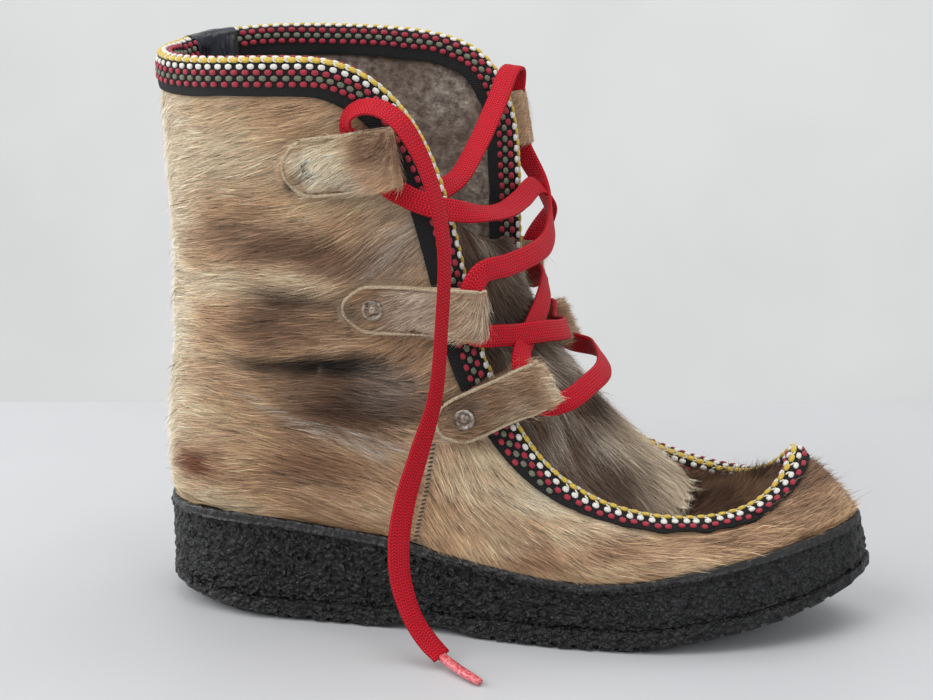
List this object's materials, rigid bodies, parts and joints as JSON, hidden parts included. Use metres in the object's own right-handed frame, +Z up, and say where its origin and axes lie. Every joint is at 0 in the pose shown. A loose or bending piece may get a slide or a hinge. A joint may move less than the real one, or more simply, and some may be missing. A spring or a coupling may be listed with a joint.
{
  "type": "winter boot",
  "caption": "Ankle-high winter boot of short-haired hide with an upturned toe, woven edge braid, lace loops and a thick crepe sole.",
  "frame": {"origin": "on the floor, under the middle of the shoe without its lace ends", "axes": "+X from heel to toe, +Y towards the inner side of the foot, +Z up"},
  "size_m": [0.2838, 0.1393, 0.2277],
  "materials": {
    "hide": "short glossy hair, tan with darker brown patches",
    "rubber": "black crepe with a pebbled side",
    "tread": "black, matt, with cross bars",
    "felt": "grey-beige fleece",
    "braid": "woven band, black with white, yellow, red and grey-green dots",
    "tape": "glossy black wrap",
    "lace": "flat red braid",
    "aglet": "clear film over red",
    "rivet": "worn nickel"
  },
  "bodies": {
    "root": {"outsole": "tread", "midsole": "rubber", "insole": "felt", "upper": "hide", "tongue": "hide", "toe_plug": "hide", "edge_braid": "braid", "collar_tape": "tape", "loop_lateral_top": "hide", "loop_lateral_middle": "hide", "loop_lateral_low": "hide", "loop_medial_top": "hide", "loop_medial_middle": "hide", "loop_medial_low": "hide", "rivet_lateral_top": "rivet", "rivet_lateral_middle": "rivet", "rivet_lateral_low": "rivet", "rivet_medial_top": "rivet", "rivet_medial_middle": "rivet", "rivet_medial_low": "rivet", "lace_bar_low": "lace", "lace_cross_middle": "lace", "lace_cross_top": "lace", "lace_end_lateral": "lace", "aglet_lateral": "aglet", "lace_end_medial": "lace", "aglet_medial": "aglet"}
  },
  "joints": []
}
